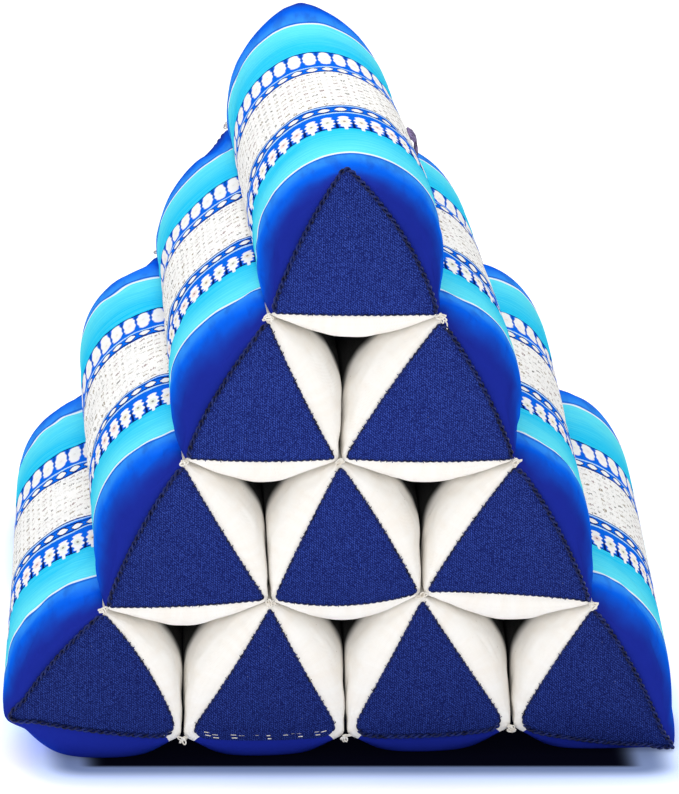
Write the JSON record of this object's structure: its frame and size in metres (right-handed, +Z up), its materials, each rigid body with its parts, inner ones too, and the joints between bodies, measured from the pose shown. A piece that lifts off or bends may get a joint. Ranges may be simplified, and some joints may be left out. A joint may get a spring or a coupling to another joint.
{
  "type": "triangle floor cushion of sewn rolls",
  "caption": "Triangular floor cushion of filled cloth rolls stacked and sewn along their corner lines, with end panels and open channels between them.",
  "frame": {"origin": "middle of the footprint, on the floor", "axes": "+Z up to the top roll; the rolls run along Y, with the end seen in front at -Y"},
  "size_m": [0.3746, 0.3078, 0.3468],
  "materials": {
    "band_cloth": "woven cotton in bands of blue, turquoise and white",
    "calico": "unbleached plain cotton",
    "end_panel": "dark blue twill cotton",
    "side_tab": "folded dark ribbon"
  },
  "bodies": {
    "root": {"roll_1_1": "band_cloth", "roll_2_1": "band_cloth", "roll_2_2": "band_cloth", "roll_3_1": "band_cloth", "roll_3_2": "calico", "roll_3_3": "band_cloth", "roll_4_1": "band_cloth", "roll_4_2": "band_cloth", "roll_4_3": "band_cloth", "roll_4_4": "band_cloth", "front_panel_1_1": "end_panel", "back_panel_1_1": "end_panel", "front_panel_2_1": "end_panel", "back_panel_2_1": "end_panel", "front_panel_2_2": "end_panel", "back_panel_2_2": "end_panel", "front_panel_3_1": "end_panel", "back_panel_3_1": "end_panel", "front_panel_3_2": "end_panel", "back_panel_3_2": "end_panel", "front_panel_3_3": "end_panel", "back_panel_3_3": "end_panel", "front_panel_4_1": "end_panel", "back_panel_4_1": "end_panel", "front_panel_4_2": "end_panel", "back_panel_4_2": "end_panel", "front_panel_4_3": "end_panel", "back_panel_4_3": "end_panel", "front_panel_4_4": "end_panel", "back_panel_4_4": "end_panel", "side_tab": "side_tab"}
  },
  "joints": []
}
